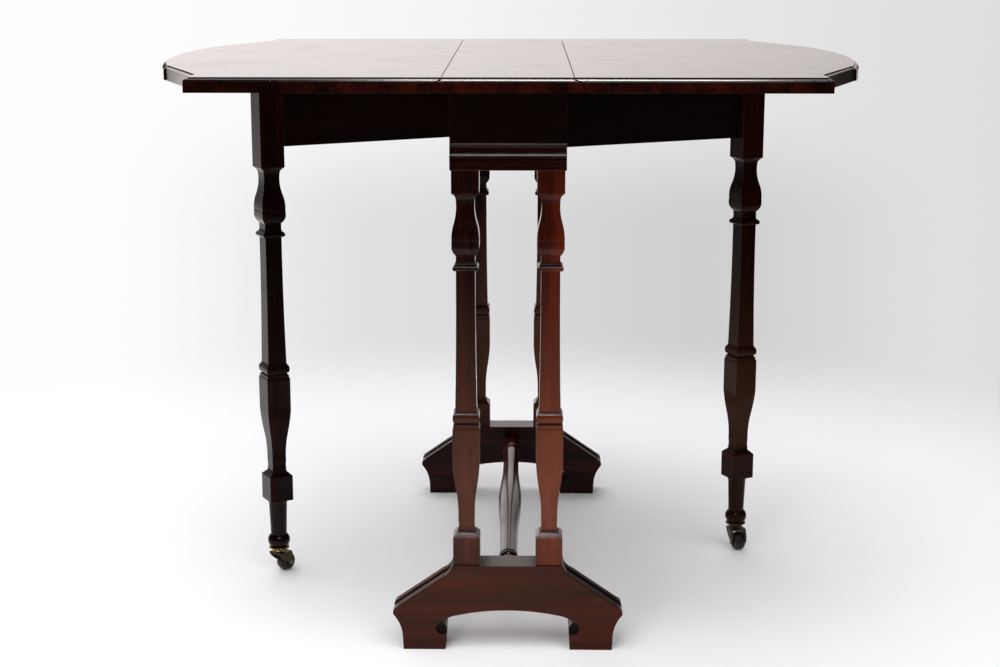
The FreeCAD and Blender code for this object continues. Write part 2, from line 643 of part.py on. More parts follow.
def make_rails():
    """The side rails, the fixed rails with their knuckles, the knuckle pins and the glue blocks."""
    side = box(-SIDE_RAIL_OUTER, -SIDE_RAIL_INNER, -SHOE_BACK, SHOE_BACK, RAIL_BOTTOM, TOP_UNDERSIDE)
    fixed = box(-FLY_RAIL_OUTER, -SIDE_RAIL_OUTER, PIVOT_PLACE, SHOE_BACK, RAIL_BOTTOM, TOP_UNDERSIDE)
    for number, (z0, z1) in enumerate(knuckle_levels()):
        if number % 2:
            fixed = fixed.cut(finger_room(z0, z1))
        else:
            fixed = fixed.fuse(at_pivot(KNUCKLE_RADIUS, z0, z1))
    pin = at_pivot(KNUCKLE_PIN_RADIUS, RAIL_BOTTOM + PIN_INSET, TOP_UNDERSIDE - PIN_INSET)
    bore = at_pivot(KNUCKLE_PIN_RADIUS, RAIL_BOTTOM, TOP_UNDERSIDE)
    save_pair("side_rail", side)
    save_pair("fixed_rail", fixed.removeSplitter().cut(bore))
    save_pair("knuckle_pin", pin)
    blocks = [box(-SIDE_RAIL_INNER, -SIDE_RAIL_INNER + GLUE_BLOCK, y - GLUE_BLOCK_LENGTH / 2,
                  y + GLUE_BLOCK_LENGTH / 2, TOP_UNDERSIDE - GLUE_BLOCK, TOP_UNDERSIDE)
              for y in GLUE_BLOCK_PLACES]
    save("glue_blocks", Part.makeCompound(blocks + [half_turn(block) for block in blocks]))


def gate_leg():
    """A swinging leg on the Z axis: a square baluster over a turned foot and ball, bored for its caster."""
    ball_rise = BALL_WIDTH / 2 - (LEG_ANKLE + BALL_SEAT) / 4
    foot = turned([(0, LEG_BLOCK_BOTTOM), (LEG_FOOT_TOP / 2, LEG_BLOCK_BOTTOM),
                   (LEG_FOOT_NECK / 2, LEG_BLOCK_BOTTOM - LEG_FOOT_NECK_DROP, -LEG_FOOT_HOLLOW),
                   (LEG_ANKLE / 2, BALL_TOP), (BALL_SEAT / 2, BALL_BOTTOM, ball_rise), (0, BALL_BOTTOM)])
    bore = rod(BORE_RADIUS, UP * BALL_BOTTOM, UP * BORE_TOP)
    return joined(baluster(GATE_TOP, LEG_BLOCK_BOTTOM, GATE_DROP), foot).cut(bore)


def make_gates():
    """The fly rails and legs of the gates, built folded against the frame and then swung out."""
    leg_face = LEG_CENTRE.y + BLOCK_WIDTH / 2
    rail = box(-FLY_RAIL_OUTER, -FLY_RAIL_INNER, leg_face, PIVOT_PLACE, FLY_RAIL_BOTTOM, GATE_TOP)
    for number, (z0, z1) in enumerate(knuckle_levels()):
        if number % 2:
            rail = rail.fuse(at_pivot(KNUCKLE_RADIUS, z0 + FINGER_CLEARANCE, z1 - FINGER_CLEARANCE))
    for number, (z0, z1) in enumerate(knuckle_levels()):
        if not number % 2:
            below = z0 - FINGER_CLEARANCE if number else FLY_RAIL_BOTTOM
            rail = rail.cut(finger_room(below, z1 + FINGER_CLEARANCE))
    tenon = box(PIVOT.x - GATE_TENON / 2, PIVOT.x + GATE_TENON / 2, leg_face - TENON_LENGTH, leg_face,
                RAIL_BOTTOM + GATE_TENON_SHOULDER, GATE_TOP - GATE_TENON_SHOULDER)
    bore = at_pivot(KNUCKLE_PIN_RADIUS + RUNNING_CLEARANCE, RAIL_BOTTOM, TOP_UNDERSIDE)
    rail = joined(rail, tenon).cut(bore)
    leg = gate_leg().translated(LEG_CENTRE).cut(tenon)
    collar = caster_collar().translated(LEG_CENTRE)
    for name, piece in (("fly_rail", rail), ("gate_leg", leg), ("caster_collar", collar)):
        save("left_" + name, piece.rotated(PIVOT, UP, -LEFT_GATE_OPENING))
        save("right_" + name, half_turn(piece.rotated(PIVOT, UP, -RIGHT_GATE_OPENING)))


# Casters

def caster_collar():
    """The brass collar under a leg's ball, on the Z axis."""
    bottom = BALL_BOTTOM - COLLAR_HEIGHT
    return turned([(BORE_RADIUS, BALL_BOTTOM), (COLLAR_RADIUS, BALL_BOTTOM),
                   (COLLAR_RADIUS, BALL_BOTTOM - COLLAR_LIP, COLLAR_CURVE),
                   (COLLAR_FOOT_RADIUS, bottom, -COLLAR_CURVE), (BORE_RADIUS, bottom)])


def caster_fork():
    """The stem, the crown that hoods the wheel and the two cheeks, on the Z axis and trailing along +X."""
    stem = rod(STEM_RADIUS, UP * CROWN_TOP, UP * (BALL_BOTTOM + STEM_LENGTH))
    neck = rod(FORK_NECK_RADIUS, UP * CROWN_TOP, UP * FORK_TOP)
    cheek = outline([(-FORK_CROWN_REACH, CROWN_TOP), (FORK_HOOD_REACH, CROWN_TOP),
                     (CASTER_TRAIL + FORK_BOSS_RADIUS, WHEEL_RADIUS, FORK_CHEEK_CURVE),
                     (CASTER_TRAIL - FORK_BOSS_RADIUS, WHEEL_RADIUS, FORK_BOSS_RADIUS),
                     (-FORK_CROWN_REACH, CROWN_BOTTOM, FORK_CHEEK_CURVE)], on_front)
    crown = box(-FORK_CROWN_REACH, FORK_HOOD_REACH, -CHEEK_INNER, CHEEK_INNER, CROWN_BOTTOM, CROWN_TOP)
    plates = [cheek.translated(V(0, y, 0)).extrude(V(0, FORK_CHEEK, 0)) for y in (CHEEK_INNER, -CHEEK_OUTER)]
    return joined(crown, stem, neck, *plates).cut(axle_bar(AXLE_RADIUS, CHEEK_OUTER))


def axle_bar(radius, half_length):
    """A round bar on the axle of a caster that trails along +X."""
    middle, reach = V(CASTER_TRAIL, 0, WHEEL_RADIUS), V(0, half_length, 0)
    return rod(radius, middle - reach, middle + reach)


def caster_axle():
    """A wheel's pin with a rounded head outside each cheek."""
    head, half = AXLE_HEAD_RADIUS, CHEEK_OUTER + AXLE_HEAD
    pin = turned([(0, half), (AXLE_RADIUS, half), (head, CHEEK_OUTER, AXLE_HEAD_ROUND),
                  (AXLE_RADIUS, CHEEK_OUTER), (AXLE_RADIUS, -CHEEK_OUTER), (head, -CHEEK_OUTER),
                  (AXLE_RADIUS, -half, AXLE_HEAD_ROUND), (0, -half)])
    return pin.rotated(V(0, 0, 0), V(1, 0, 0), 90).translated(V(CASTER_TRAIL, 0, WHEEL_RADIUS))


def caster_wheel():
    """A wheel with a crowned tread, dished sides and a hub."""
    bore = AXLE_RADIUS + RUNNING_CLEARANCE
    rim, hub = WHEEL_RIM_WIDTH / 2, WHEEL_WIDTH / 2
    dish = rim - WHEEL_CROWN
    shoulder = WHEEL_RADIUS - WHEEL_CROWN
    side = [(bore, hub), (HUB_RADIUS, hub), (HUB_RADIUS, dish), (WHEEL_WEB_RADIUS, dish),
            (WHEEL_WEB_RADIUS, rim), (shoulder - WHEEL_CROWN, rim),
            (shoulder, rim - WHEEL_CROWN, WHEEL_SHOULDER_ROUND)]
    other = [(r, -z) for r, z, *_ in reversed(side)]
    other[0] = (*other[0], WHEEL_CROWN)
    wheel = turned(side + other)
    return wheel.rotated(V(0, 0, 0), V(1, 0, 0), 90).translated(V(CASTER_TRAIL, 0, WHEEL_RADIUS))


def swung_leg(opening):
    """The middle of the left leg when its gate is opened by an angle."""
    arm, angle = LEG_CENTRE.sub(PIVOT), math.radians(-opening)
    return V(arm.x * math.cos(angle) - arm.y * math.sin(angle),
             arm.x * math.sin(angle) + arm.y * math.cos(angle), 0).add(PIVOT)


def make_casters():
    """Both casters at their legs, each turned to its own heading."""
    left, right = swung_leg(LEFT_GATE_OPENING), swung_leg(RIGHT_GATE_OPENING) * -1
    pieces = {"caster_fork": caster_fork(), "caster_axle": caster_axle(), "caster_wheel": caster_wheel()}
    for side, foot, heading in (("left", left, LEFT_CASTER_HEADING), ("right", right, RIGHT_CASTER_HEADING)):
        for name, piece in pieces.items():
            save(side + "_" + name, piece.rotated(V(0, 0, 0), UP, heading).translated(foot))
        print(side, "caster stem at", round(foot.x, 4), round(foot.y, 4))


os.makedirs("parts", exist_ok=True)
make_top()
make_trestles()
make_stretcher()
make_rails()
make_gates()
make_casters()
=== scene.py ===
"""A drop-leaf tea table in dark polished mahogany, dressed over its solids and set on a pale studio floor."""

import json
import math

import bmesh
import bpy
from bpy.props import FloatProperty, FloatVectorProperty, PointerProperty
from bpy.types import Operator, Panel, PropertyGroup
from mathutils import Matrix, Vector

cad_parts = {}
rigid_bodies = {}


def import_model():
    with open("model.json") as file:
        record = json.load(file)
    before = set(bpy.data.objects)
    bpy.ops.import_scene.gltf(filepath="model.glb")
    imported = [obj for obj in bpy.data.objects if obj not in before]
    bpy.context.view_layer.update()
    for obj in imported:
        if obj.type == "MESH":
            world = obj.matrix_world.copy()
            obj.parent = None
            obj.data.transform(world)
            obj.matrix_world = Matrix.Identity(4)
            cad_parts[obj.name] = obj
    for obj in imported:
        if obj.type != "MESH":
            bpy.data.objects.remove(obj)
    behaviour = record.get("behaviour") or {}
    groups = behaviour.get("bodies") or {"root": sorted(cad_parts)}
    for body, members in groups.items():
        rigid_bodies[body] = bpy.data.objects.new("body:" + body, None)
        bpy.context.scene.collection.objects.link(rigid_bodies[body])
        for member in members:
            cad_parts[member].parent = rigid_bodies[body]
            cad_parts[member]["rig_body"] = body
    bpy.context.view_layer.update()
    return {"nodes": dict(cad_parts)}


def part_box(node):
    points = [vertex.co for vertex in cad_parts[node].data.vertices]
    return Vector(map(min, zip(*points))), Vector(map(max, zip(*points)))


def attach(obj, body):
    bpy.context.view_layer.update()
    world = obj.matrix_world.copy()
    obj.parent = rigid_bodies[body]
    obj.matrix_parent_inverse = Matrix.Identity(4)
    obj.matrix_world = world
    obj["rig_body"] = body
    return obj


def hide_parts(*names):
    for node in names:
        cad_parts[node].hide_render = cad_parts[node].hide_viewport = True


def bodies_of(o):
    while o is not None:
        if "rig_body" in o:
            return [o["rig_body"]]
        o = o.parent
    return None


bl_info = {
    "name": "Sutherland Table",
    "version": (1, 0, 0),
    "blender": (4, 5, 0),
    "location": "3D Viewport > Sidebar > Table",
    "description": "Dresses an open drop-leaf table in polished mahogany and stands it on a pale floor",
    "category": "Object",
}

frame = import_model()

# Directions of the grain
UPRIGHT = (0.0, 0.0, 1.0)
ALONG_TOP = (0.0, 1.0, 0.0)
ACROSS = (1.0, 0.0, 0.0)

# How a copy of a solid is welded, flattened, eased and shaded
WELD = 1e-6
FLAT_ANGLE = math.radians(0.3)
SHARP_ANGLE = math.radians(24.0)
CREASE_ANGLE = math.radians(35.0)
ARRIS_STEPS = 2

# Radii between which a cove goes from no painted shade to full painted shade, in metres
COVE_WIDE = 0.012
COVE_TIGHT = 0.004

# Heights between which legs and posts are painted paler, as where light falls low down, and below which feet
# are darker, in metres
PALE_FOOT = 0.12
PALE_LOW = 0.16
PALE_HIGH = 0.5
DARK_FOOT_HIGH = 0.05

# Shares in the woods: painted paleness that the feet keep, darkening on them, the figure's darkness and late
# wood's tone
PALE_FEET = 0.4
FOOT_DARKENING = 0.5
FIGURE_DEPTH = 0.24
LATE_WOOD = 0.45

# Each board's name, depth of colour, handling and gloss; the end rails and end panels, in the top's shadow,
# are made deeper as painted shade
BOARDS = (("shoe", 0.12, 1.0, 0.12), ("end_rail", 0.31, 1.0, 0.2), ("end_panel", 0.42, 0.4, 0.2))
# Painted light on the front boards low down
FRONT_BOARD_LIGHT = 0.2
# Painted shade that darkens the rear boards
REAR_BOARD_SHADE = 0.12

# Each post's side, depth of colour and painted light low down; the right post is painted lighter, as more
# light falls on it
POSTS = (("left", 0.18, 0.2), ("right", 0.05, 0.34))
POST_GLOSS = 0.15
# Painted shade that darkens the rear posts
REAR_POST_SHADE = 0.1

# Each gate leg's side, depth of colour, painted light low down and gloss; the legs' deep colour stands in
# part for the shade they stand in
GATE_LEGS = (("left", 0.32, 0.02, 0.12), ("right", 0.36, 0.17, 0.06))

# How far the caster brass has darkened
FORK_AGE = 0.3
COLLAR_AGES = {"left": 0.06, "right": 0.22}

# Distances over which the floor fades out, in metres, and the share of them that counts on the near side
FLOOR_FADE = 0.5
FLOOR_REACH = 1.5
FLOOR_NEAR = 0.5

# Brightness of the room and its backdrop, and of the wall with painted light on its left side and a painted
# shadow at its foot
ROOM_GLOW = 0.04
BACKDROP_GLOW = 1.5
WALL_GLOW = 0.73
WALL_LEFT_GLOW = 0.27
WALL_FOOT_SHADE = 0.19

# The warm colour of the low lamp, the camera's sensor in millimetres, and a Mix node's colour sockets
LOW_FILL_COLOUR = (1.0, 0.96, 0.92)
SENSOR_WIDTH = 36.0
MIX_FACTOR, MIX_FIRST, MIX_SECOND, MIX_RESULT = 0, 6, 7, 2


# Sizes and colours that a user may change

class TableFinish(PropertyGroup):
    """Colours and gloss of the table's wood and metal."""

    wood_dark: FloatVectorProperty(
        name="Dark wood", description="Colour of the dark bands of the mahogany",
        subtype="COLOR", size=3, min=0.0, max=1.0, default=(0.0042, 0.0013, 0.0009))
    wood_light: FloatVectorProperty(
        name="Light wood", description="Colour of the light bands of the mahogany",
        subtype="COLOR", size=3, min=0.0, max=1.0, default=(0.150, 0.0180, 0.0060))
    pore: FloatVectorProperty(
        name="Pores", description="Colour of the filled pores of the mahogany",
        subtype="COLOR", size=3, min=0.0, max=1.0, default=(0.012, 0.004, 0.003))
    # Also painted on legs and posts low down, as light falling there
    worn_and_lit: FloatVectorProperty(
        name="Worn wood", description="Colour of the mahogany where its polish is rubbed thin or faded",
        subtype="COLOR", size=3, min=0.0, max=1.0, default=(0.200, 0.070, 0.030))
    polish: FloatProperty(
        name="Polish", description="Roughness of the sound polish",
        subtype="FACTOR", min=0.02, max=1.0, default=0.17)
    deal: FloatVectorProperty(
        name="Deal", description="Colour of the unpolished softwood inside the frame",
        subtype="COLOR", size=3, min=0.0, max=1.0, default=(0.150, 0.072, 0.030))
    dust: FloatVectorProperty(
        name="Dust", description="Colour of the old dust on the softwood",
        subtype="COLOR", size=3, min=0.0, max=1.0, default=(0.090, 0.050, 0.025))
    brass: FloatVectorProperty(
        name="Brass", description="Colour of the caster brass where it is rubbed bright",
        subtype="COLOR", size=3, min=0.0, max=1.0, default=(0.640, 0.420, 0.150))
    tarnish: FloatVectorProperty(
        name="Tarnish", description="Colour of the brass where it has darkened",
        subtype="COLOR", size=3, min=0.0, max=1.0, default=(0.018, 0.016, 0.010))
    iron: FloatVectorProperty(
        name="Iron", description="Colour of the hinges, pins, screws and axles",
        subtype="COLOR", size=3, min=0.0, max=1.0, default=(0.170, 0.155, 0.140))
    rust: FloatVectorProperty(
        name="Rust", description="Colour of the brown bloom on the iron",
        subtype="COLOR", size=3, min=0.0, max=1.0, default=(0.075, 0.032, 0.014))
    wheel: FloatVectorProperty(
        name="Wheel", description="Colour of the pressed leather wheels",
        subtype="COLOR", size=3, min=0.0, max=1.0, default=(0.011, 0.008, 0.007))
    scuffed: FloatVectorProperty(
        name="Scuffed wheel", description="Colour of the wheels' leather where it is scuffed",
        subtype="COLOR", size=3, min=0.0, max=1.0, default=(0.045, 0.034, 0.026))


class TableSizes(PropertyGroup):
    """Small sizes that the dressing adds to the solids."""

    wood_arris: FloatProperty(
        name="Wood arris", description="Width by which the sharp edges of the wood are eased",
        unit="LENGTH", min=0.0001, max=0.002, default=0.0006)
    top_arris: FloatProperty(
        name="Top arris", description="Width by which the sharp edges of the top and leaves are eased",
        unit="LENGTH", min=0.0001, max=0.002, default=0.0003)
    metal_arris: FloatProperty(
        name="Metal arris", description="Width by which the sharp edges of the metal are eased",
        unit="LENGTH", min=0.00005, max=0.001, default=0.0002)


class TableStage(PropertyGroup):
    """The camera, the floor and the room."""

    eye: FloatVectorProperty(
        name="Eye", description="Place of the camera", subtype="TRANSLATION", unit="LENGTH", size=3,
        default=(0.0189, -2.351, 0.8419))
    gaze: FloatVectorProperty(
        name="Gaze", description="Direction in which the camera looks", subtype="DIRECTION", size=3,
        default=(-0.013567, 0.975956, -0.21755))
    lens: FloatProperty(
        name="Lens", description="Focal length on a sensor 36 mm wide", unit="CAMERA",
        min=20.0, max=200.0, default=64.235)
    floor: FloatVectorProperty(
        name="Floor", description="Colour of the studio floor",
        subtype="COLOR", size=3, min=0.0, max=1.0, default=(0.85, 0.852, 0.875))
    room: FloatVectorProperty(
        name="Room", description="Colour of the light that comes from the room",
        subtype="COLOR", size=3, min=0.0, max=1.0, default=(1.0, 0.94, 0.92))
    wall: FloatVectorProperty(
        name="Wall", description="Colour of the wall that the camera sees",
        subtype="COLOR", size=3, min=0.0, max=1.0, default=(0.995, 0.99, 1.0))


# Shader nodes

class Value:
    """An output of a shader node that takes part in sums as a number does."""

    def __init__(self, finish, socket):
        self.finish, self.socket = finish, socket

    def __add__(self, other):
        return self.finish.math("ADD", self, other)

    __radd__ = __add__

    def __sub__(self, other):
        return self.finish.math("SUBTRACT", self, other)

    def __rsub__(self, other):
        return self.finish.math("SUBTRACT", other, self)

    def __mul__(self, other):
        return self.finish.math("MULTIPLY", self, other)

    __rmul__ = __mul__

    def between(self, low, high):
        """0 below low, 1 above high and smooth from one to the other."""
        return self.finish.node("ShaderNodeMapRange", {"interpolation_type": "SMOOTHSTEP"},
                                {"Value": self, "From Min": low, "From Max": high})


class Finish:
    """One material or world, and the nodes that make it."""

    def __init__(self, owner):
        owner.use_nodes = True
        self.owner, self.tree = owner, owner.node_tree
        self.tree.nodes.clear()

    def node(self, kind, settings=None, sockets=None, output=0):
        """Adds a node: its settings first, then the values or links of its sockets."""
        made = self.tree.nodes.new(kind)
        for name, value in (settings or {}).items():
            setattr(made, name, value)
        for key, value in (sockets or {}).items():
            if isinstance(value, Value):
                self.tree.links.new(value.socket, made.inputs[key])
            else:
                made.inputs[key].default_value = value
        return Value(self, made.outputs[output]) if made.outputs else None

    def math(self, operation, *values):
        """A Math node on some values."""
        return self.node("ShaderNodeMath", {"operation": operation}, dict(enumerate(values)))

    def tint(self, factor, first, second):
        """A colour between two colours."""
        first, second = (tone if isinstance(tone, Value) else (*tone, 1.0) for tone in (first, second))
        return self.node("ShaderNodeMix", {"data_type": "RGBA"},
                         {MIX_FACTOR: factor, MIX_FIRST: first, MIX_SECOND: second}, MIX_RESULT)

    def attribute(self, name):
        """A number that the mesh holds for each face."""
        return self.node("ShaderNodeAttribute", {"attribute_name": name}, output="Fac")

    def part(self, place, axis):
        """The X, Y or Z of a place or direction."""
        return self.node("ShaderNodeSeparateXYZ", None, {"Vector": place}, axis)

    def place(self, grain=UPRIGHT, figure=(0.0, 0.0, 0.0)):
        """Object coordinates, turned so that the grain runs along Z, and moved to a figure of their own."""
        here = self.node("ShaderNodeTexCoord", output="Object")
        turn = Vector(grain).rotation_difference(Vector(UPRIGHT)).to_euler("XYZ")
        return self.node("ShaderNodeMapping", None,
                         {"Vector": here, "Location": figure, "Rotation": tuple(turn)})

    def noise(self, place, across, along, detail=2.0, rough=0.5, warp=0.0):
        """Noise that has its own count per metre across the grain and along it."""
        drawn = self.node("ShaderNodeVectorMath", {"operation": "MULTIPLY"},
                          {0: place, 1: (across, across, along)})
        return self.node("ShaderNodeTexNoise", None, {"Vector": drawn, "Scale": 1.0, "Detail": detail,
                                                      "Roughness": rough, "Distortion": warp})

    def grit(self, place, count, detail, rough=0.5):
        """Noise with the same count per metre every way."""
        return self.noise(place, count, count, detail, rough)

    def bump(self, height, distance, strength):
        """A normal that follows a height."""
        return self.node("ShaderNodeBump", None,
                         {"Height": height, "Distance": distance, "Strength": strength})

    def surface(self, **sockets):
        """A principled surface as the material's own, from sockets named with underscores."""
        named = {key.replace("_", " "): value for key, value in sockets.items()}
        shader = self.node("ShaderNodeBsdfPrincipled", None, named)
        self.node("ShaderNodeOutputMaterial", None, {"Surface": shader})
        return self.owner


def mahogany(name, grain, figure, depth=0.0, handled=1.0, faded=0.0, gloss=0.22):
    """Dark polished mahogany with ribbons, streaks and pores.

    Its arrises are rubbed, its hollows are darkened with painted shade, and it darkens towards the floor. The
    depth darkens its figure, handling brings wear and smudges, painted light pales it low down, and gloss is
    how strongly its polish mirrors.
    """
    looks = bpy.context.scene.table_finish
    finish = Finish(bpy.data.materials.new(name))
    place = finish.place(grain, figure)
    ribbon = finish.noise(place, across=34.0, along=1.3, detail=3.0, rough=0.55, warp=0.35)
    streak = finish.noise(place, across=260.0, along=5.0, detail=4.0, rough=0.6)
    cloud = finish.noise(place, across=6.0, along=2.2)
    pores = finish.noise(place, across=1500.0, along=42.0, detail=1.0).between(0.62, 0.72)
    patch = finish.noise(place, across=40.0, along=12.0, detail=3.0).between(0.42, 0.62)
    smudge = finish.noise(place, across=14.0, along=9.0, detail=4.0, rough=0.65).between(0.45, 0.75)
    ripple = finish.noise(place, across=60.0, along=12.0, detail=1.0)

    height = finish.part(finish.place(), "Z")
    # Painted light: paler from low on the legs to halfway up, where the light falls
    rising = PALE_FEET + (1.0 - PALE_FEET) * height.between(PALE_FOOT, PALE_LOW)
    pale = rising * (1.0 - height.between(PALE_LOW, PALE_HIGH))
    rubbed = finish.attribute("arris")
    # Painted shade in the hollows, and a darkening towards the floor
    hollow_shade_and_low_dark = finish.attribute("hollow") + (1.0 - height.between(0.0, DARK_FOOT_HIGH)) * FOOT_DARKENING

    bands = ribbon * 0.75 + streak * 0.35 + cloud * 0.35 - (FIGURE_DEPTH + depth)
    wood = finish.tint(bands.between(0.1, 0.9), looks.wood_dark, looks.wood_light)
    # Painted light, paler low down
    wood = finish.tint(pale * faded, wood, looks.worn_and_lit)
    wood = finish.tint(pores * 0.6, wood, looks.pore)
    wood = finish.tint(rubbed * patch * (0.35 * handled), wood, looks.worn_and_lit)
    # Painted shade in the hollows and the darkening near the floor
    wood = finish.tint(hollow_shade_and_low_dark * 0.9, wood, looks.wood_dark)
    rough = looks.polish + smudge * (0.12 * handled) + pores * 0.06 + rubbed * 0.06 + hollow_shade_and_low_dark * 0.35
    relief = ripple * (0.4 * handled) + streak * 0.1 - pores * 0.2
    return finish.surface(Base_Color=wood, Roughness=rough, Specular_IOR_Level=gloss,
                          Normal=finish.bump(relief, distance=0.0002, strength=0.3))


def softwood(name, grain, figure):
    """Unpolished deal, darkened by age, with its rings and dust."""
    looks = bpy.context.scene.table_finish
    finish = Finish(bpy.data.materials.new(name))
    place = finish.place(grain, figure)
    rings = finish.noise(place, across=90.0, along=1.6, rough=0.45, warp=0.4)
    dust = finish.noise(place, across=9.0, along=5.0, detail=4.0, rough=0.6)
    late = tuple(LATE_WOOD * part for part in looks.deal)
    wood = finish.tint(rings.between(0.44, 0.6), looks.deal, late)
    wood = finish.tint(dust.between(0.4, 0.75) * 0.6, wood, looks.dust)
    return finish.surface(Base_Color=wood, Roughness=0.62 + dust * 0.25,
                          Normal=finish.bump(rings, distance=0.0003, strength=0.5))


def cast_brass(name, age):
    """Old caster brass: bright where it is rubbed and nearly black where it is not, the more so with age."""
    looks = bpy.context.scene.table_finish
    finish = Finish(bpy.data.materials.new(name))
    place = finish.place()
    dull = finish.grit(place, 190.0, detail=4.0, rough=0.6).between(0.46 - age, 0.66 - age)
    speck = finish.grit(place, 1400.0, detail=2.0).between(0.55, 0.7)
    metal = finish.tint(dull * 0.94, looks.brass, looks.tarnish)
    return finish.surface(Base_Color=metal, Metallic=1.0 - dull * 0.35, Specular_IOR_Level=0.15,
                          Roughness=0.2 + dull * 0.3 + speck * 0.1,
                          Normal=finish.bump(speck - dull * 0.4, distance=0.00008, strength=0.5))


def old_iron(name):
    """Hinge and pin iron with a brown bloom."""
    looks = bpy.context.scene.table_finish
    finish = Finish(bpy.data.materials.new(name))
    bloom = finish.grit(finish.place(), 240.0, detail=4.0, rough=0.6).between(0.42, 0.7)
    metal = finish.tint(bloom * 0.7, looks.iron, looks.rust)
    return finish.surface(Base_Color=metal, Metallic=1.0 - bloom * 0.6, Roughness=0.34 + bloom * 0.3,
                          Normal=finish.bump(bloom, distance=0.0001, strength=0.4))


def pressed_leather(name, axle):
    """The dark leather of a caster wheel, pressed in layers across its axle, greasy and scuffed."""
    looks = bpy.context.scene.table_finish
    finish = Finish(bpy.data.materials.new(name))
    place = finish.place(axle)
    scuff = finish.grit(place, 420.0, detail=4.0, rough=0.65).between(0.5, 0.72)
    layer = finish.noise(place, across=6.0, along=620.0, detail=1.0).between(0.42, 0.58)
    pits = finish.grit(place, 1800.0, detail=2.0)
    hide = finish.tint(scuff * 0.4 + layer * 0.3, looks.wheel, looks.scuffed)
    relief = layer * 1.6 + pits * 0.4 + scuff * 0.4
    return finish.surface(Base_Color=hide, Roughness=0.3 + scuff * 0.25, Specular_IOR_Level=0.2,
                          Normal=finish.bump(relief, distance=0.00016, strength=0.7))


# Pieces

def paint(node, material):
    """Gives a solid's own object a finish."""
    slots = frame["nodes"][node].data.materials
    slots.clear()
    slots.append(material)


def body_of(node):
    """The body that a solid moves with."""
    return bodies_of(frame["nodes"][node])[0]


def hollowness(face, sharp):
    """How much painted shade a face gets for lying in a narrow hollow: 1 between inner corners, and up to 1
    in a tight cove.
    """
    if sum(edge in sharp and not edge.is_convex for edge in face.edges) > 1:
        return 1.0
    soft = (edge for edge in face.edges if edge not in sharp)
    bend = sum(edge.calc_face_angle_signed(0.0) * edge.calc_length() for edge in soft)
    # Half of each bend belongs to the next face
    curvature = -0.5 * bend / face.calc_area()
    share = (curvature - 1.0 / COVE_WIDE) / (1.0 / COVE_TIGHT - 1.0 / COVE_WIDE)
    return min(1.0, max(0.0, share))


def eased(node, material, arris):
    """Makes a copy of a solid with its sharp edges eased, which then stands for it."""
    work = bmesh.new()
    work.from_mesh(frame["nodes"][node].data)
    bmesh.ops.remove_doubles(work, verts=work.verts, dist=WELD)
    bmesh.ops.dissolve_limit(work, angle_limit=FLAT_ANGLE, verts=work.verts, edges=work.edges)
    sharp = {edge for edge in work.edges if edge.is_manifold and edge.calc_face_angle() > SHARP_ANGLE}
    rubbed = work.faces.layers.float.new("arris")
    # Each face's share of painted shade for lying in a hollow
    hollow_shade_layer = work.faces.layers.float.new("hollow")
    for face in work.faces:
        face[hollow_shade_layer] = hollowness(face, sharp)
    made = bmesh.ops.bevel(work, geom=list(sharp), offset=arris, offset_type="OFFSET", affect="EDGES",
                           segments=ARRIS_STEPS, profile=0.5, material=-1,
                           clamp_overlap=True, loop_slide=True)
    for face in made["faces"]:
        face[rubbed] = 1.0
    for face in work.faces:
        face.smooth = True
    for edge in work.edges:
        edge.smooth = not (edge.is_manifold and edge.calc_face_angle() > CREASE_ANGLE)
    mesh = bpy.data.meshes.new("eased_" + node)
    work.to_mesh(mesh)
    work.free()
    mesh.materials.append(material)
    piece = bpy.data.objects.new("eased_" + node, mesh)
    bpy.context.scene.collection.objects.link(piece)
    piece.modifiers.new("Level faces", "WEIGHTED_NORMAL").keep_sharp = True
    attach(piece, body_of(node))
    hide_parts(node)


class DressOperator:
    """What the operators that dress the table have in common."""

    bl_options = {"REGISTER", "UNDO"}

    def wood(self, context, node, grain, figure, arris="wood_arris", **look):
        """Eases one wooden piece by a named size and polishes it."""
        finish = mahogany("mahogany_" + node, grain, figure, **look)
        eased(node, finish, getattr(context.scene.table_sizes, arris))


class TABLE_OT_dress_top(DressOperator, Operator):
    """Polishes the fixed top and the two leaves, with the grain along the joints"""

    bl_idname = "table.dress_top"
    bl_label = "Dress the Top"

    def execute(self, context):
        for node, figure in (("centre_top", (0.0, 0.0, 0.0)), ("left_leaf", (1.7, 0.6, 3.1)),
                             ("right_leaf", (4.2, 2.3, 1.9))):
            self.wood(context, node, ALONG_TOP, figure, "top_arris", depth=0.16, handled=0.15)
        return {"FINISHED"}


class TABLE_OT_dress_trestles(DressOperator, Operator):
    """Polishes the shoes, posts, end rails and end panels, the rear ones painted darker as shade"""

    bl_idname = "table.dress_trestles"
    bl_label = "Dress the Trestles"

    def execute(self, context):
        for number, end in enumerate(("front", "rear")):
            for step, (name, depth, handled, gloss) in enumerate(BOARDS):
                figure = (0.9 * number, 1.3 * step, 2.1 * step + number)
                self.wood(context, end + "_" + name, ACROSS, figure, depth=depth + REAR_BOARD_SHADE * number,
                          handled=handled, faded=FRONT_BOARD_LIGHT * (1 - number), gloss=gloss)
            for step, (side, depth, faded) in enumerate(POSTS):
                figure = (1.1 * step, 0.7 * number, 1.9 * step + number)
                self.wood(context, end + "_" + side + "_post", UPRIGHT, figure,
                          depth=depth + REAR_POST_SHADE * number, faded=faded, gloss=POST_GLOSS)
        return {"FINISHED"}


class TABLE_OT_dress_stretcher(DressOperator, Operator):
    """Polishes the turned stretcher"""

    bl_idname = "table.dress_stretcher"
    bl_label = "Dress the Stretcher"

    def execute(self, context):
        self.wood(context, "stretcher", ALONG_TOP, (2.2, 0.4, 5.0), depth=0.12)
        return {"FINISHED"}


